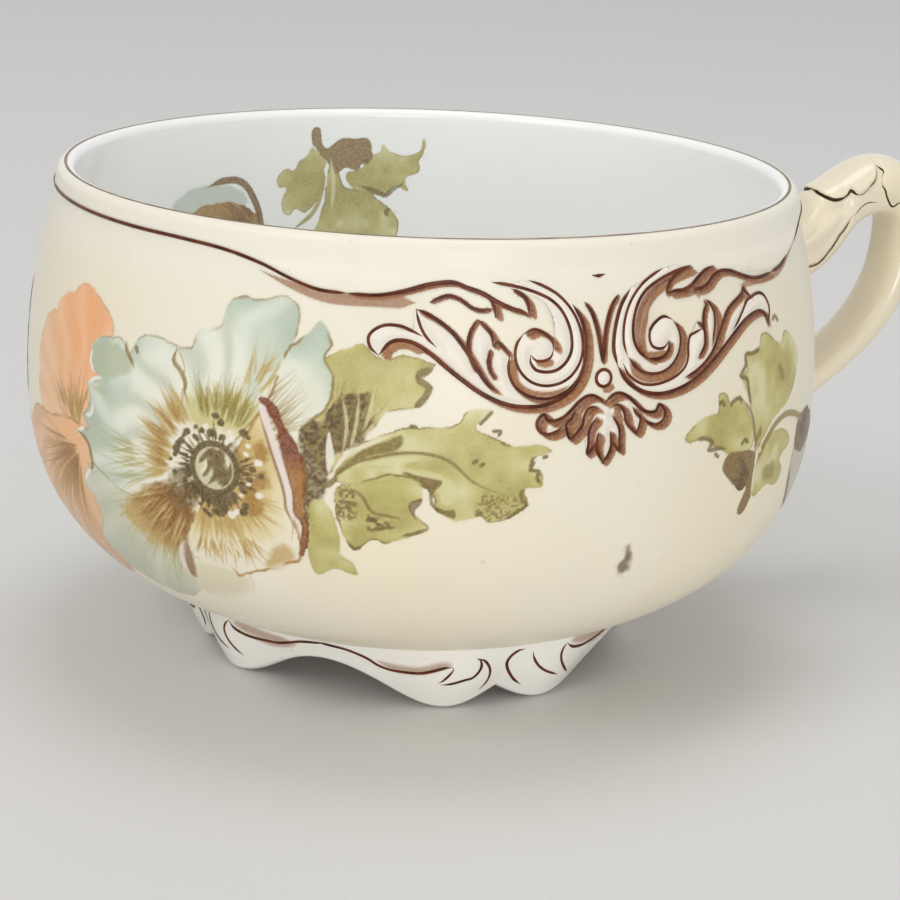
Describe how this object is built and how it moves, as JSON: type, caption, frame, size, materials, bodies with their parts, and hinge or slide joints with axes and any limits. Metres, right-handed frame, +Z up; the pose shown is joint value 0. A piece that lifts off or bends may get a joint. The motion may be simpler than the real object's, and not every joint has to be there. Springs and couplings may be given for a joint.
{
  "type": "footed cup",
  "caption": "Round porcelain cup with a full belly, a moulded rim band, a scalloped foot ring and an ear handle with a leaf cap, for hot drinks.",
  "frame": {"origin": "on the table under the middle of the cup's overall box, so the bowl's axis lies on the -X side of it", "axes": "+Z up out of the cup's mouth, +X from the bowl towards the handle"},
  "size_m": [0.135, 0.1088, 0.0677],
  "materials": {
    "ivory_glaze": "glossy ivory glaze",
    "white_glaze": "glossy white glaze",
    "cream_glaze": "glossy cream glaze",
    "fired_slip": "matt fired clay"
  },
  "bodies": {
    "root": {"bowl": "ivory_glaze", "foot_ring": "white_glaze", "handle": "cream_glaze", "handle_upper_slip": "fired_slip", "handle_lower_slip": "fired_slip", "foot_slip": "fired_slip"}
  },
  "joints": []
}
